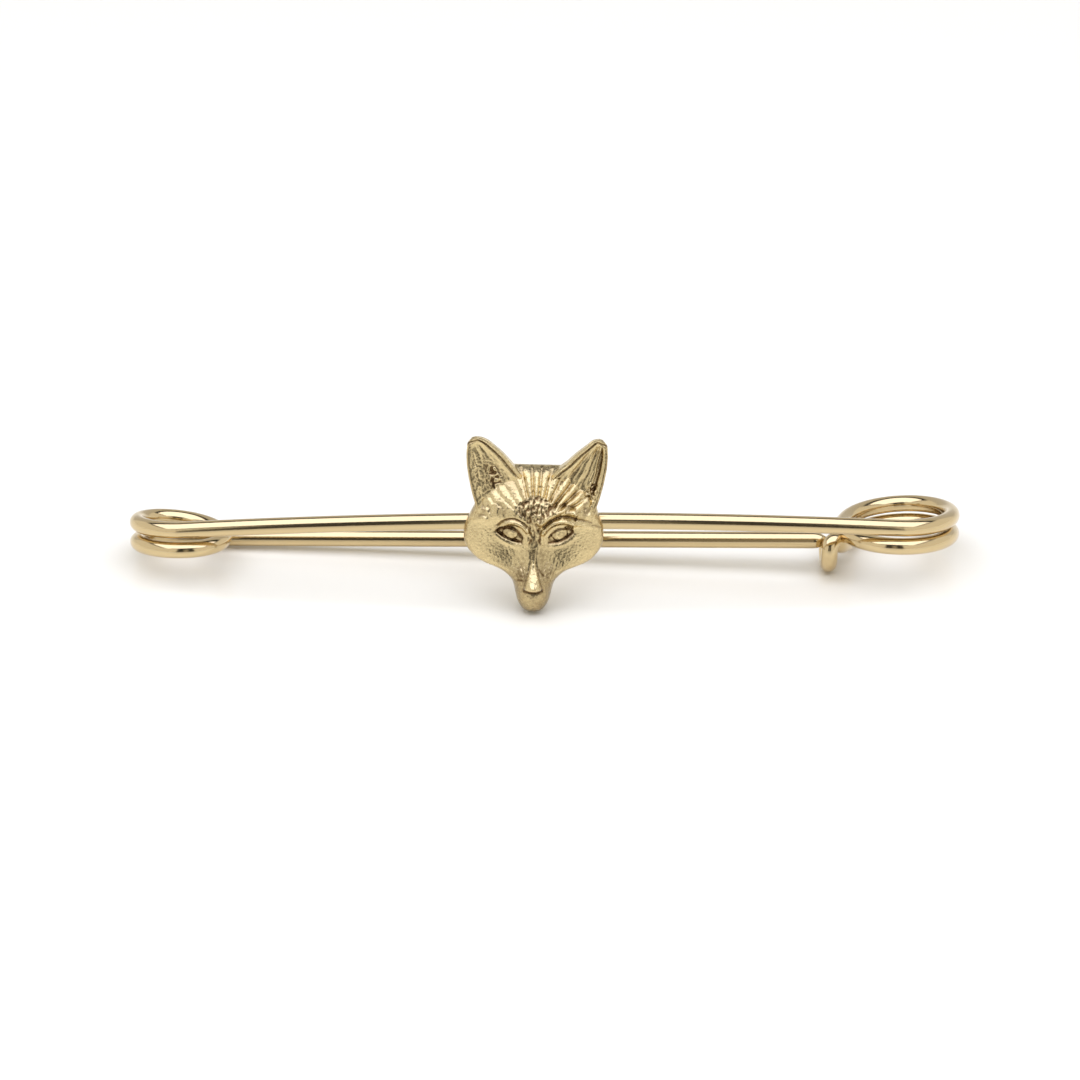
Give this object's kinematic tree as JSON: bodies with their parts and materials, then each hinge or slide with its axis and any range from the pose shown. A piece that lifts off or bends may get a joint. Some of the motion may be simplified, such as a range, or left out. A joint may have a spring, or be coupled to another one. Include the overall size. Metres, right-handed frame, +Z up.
{
  "type": "fox mask safety pin brooch",
  "caption": "Gold brooch in safety-pin form: a sprung wire pin with a catch loop and hook, carrying a cast fox mask.",
  "frame": {"origin": "under the middle of the pin, on the ground it lies on", "axes": "+X along the pin from the spring coil to the catch, the mask faces -Y and up, +Z up"},
  "size_m": [0.062, 0.0158, 0.0128],
  "materials": {
    "gold": "polished wire and satin cast relief"
  },
  "bodies": {
    "frame": {"fox_pin": "gold"},
    "tongue": {"pin_tongue": "gold"}
  },
  "joints": [
    {"name": "tongue_swing", "type": "hinge", "parent": "frame", "child": "tongue", "pos_m": [-0.02317, 0.003, 0.00078], "axis": [-0.01, -0.1845, 0.9828], "range_deg": [0, 20], "stiffness_Nm_per_rad": 0.05}
  ]
}
